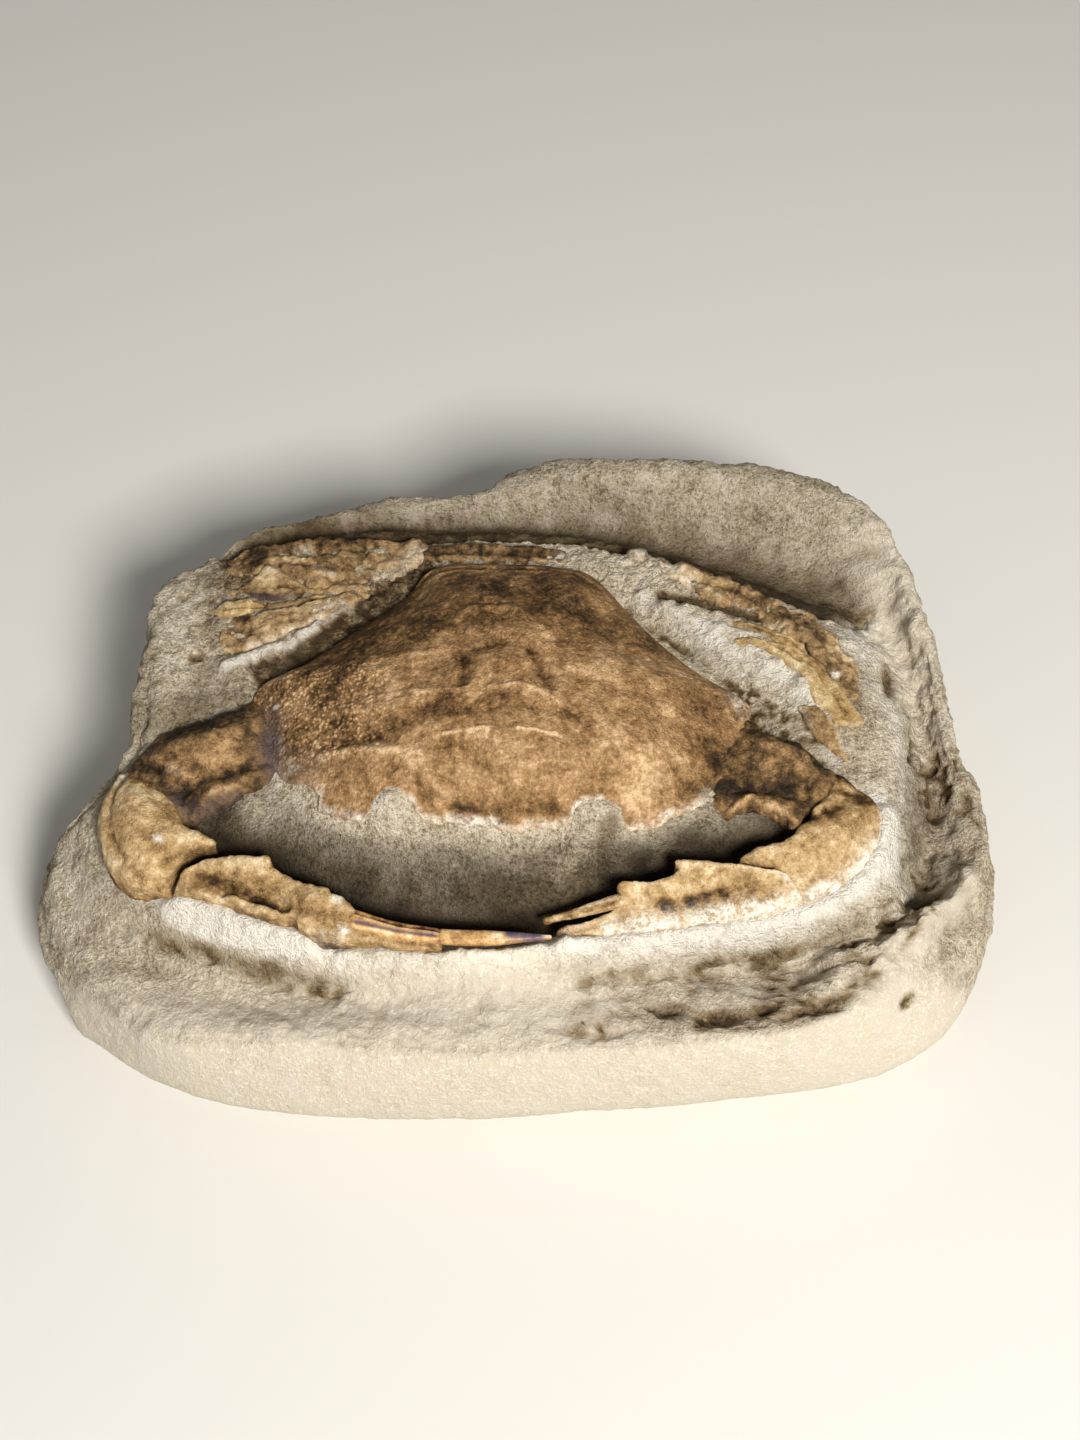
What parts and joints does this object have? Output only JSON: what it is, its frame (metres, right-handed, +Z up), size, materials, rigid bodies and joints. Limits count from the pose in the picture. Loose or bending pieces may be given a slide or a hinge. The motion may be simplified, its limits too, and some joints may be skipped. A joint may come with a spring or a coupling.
{
  "type": "fossil crab",
  "caption": "Fossil crab with a domed shell, folded claws and legs, kept on the carved stone slab that it was found in; the slab rests on its flat base.",
  "frame": {"origin": "centre of the slab's flat base", "axes": "+X across the crab, to the right as seen from in front of its claws; +Y to the back of the shell, away from the claws; +Z up, out of the base"},
  "size_m": [0.1932, 0.1361, 0.0575],
  "materials": {
    "matrix": "matte",
    "carapace": "satin",
    "left_merus": "satin",
    "left_carpus": "satin",
    "left_propodus": "satin",
    "left_dactylus": "satin",
    "right_merus": "satin",
    "right_carpus": "satin",
    "right_propodus": "satin",
    "right_dactylus": "satin",
    "pleon": "satin",
    "left_leg_5": "satin",
    "left_leg_4": "satin",
    "left_leg_3": "satin",
    "left_leg_2": "satin",
    "right_leg_5": "satin",
    "right_leg_4": "satin",
    "right_leg_3": "satin",
    "right_leg_2": "satin"
  },
  "bodies": {
    "root": {"matrix": "matrix", "carapace": "carapace", "left_merus": "left_merus", "left_carpus": "left_carpus", "left_propodus": "left_propodus", "left_dactylus": "left_dactylus", "right_merus": "right_merus", "right_carpus": "right_carpus", "right_propodus": "right_propodus", "right_dactylus": "right_dactylus", "pleon": "pleon", "left_leg_5": "left_leg_5", "left_leg_4": "left_leg_4", "left_leg_3": "left_leg_3", "left_leg_2": "left_leg_2", "right_leg_5": "right_leg_5", "right_leg_4": "right_leg_4", "right_leg_3": "right_leg_3", "right_leg_2": "right_leg_2"}
  },
  "joints": []
}
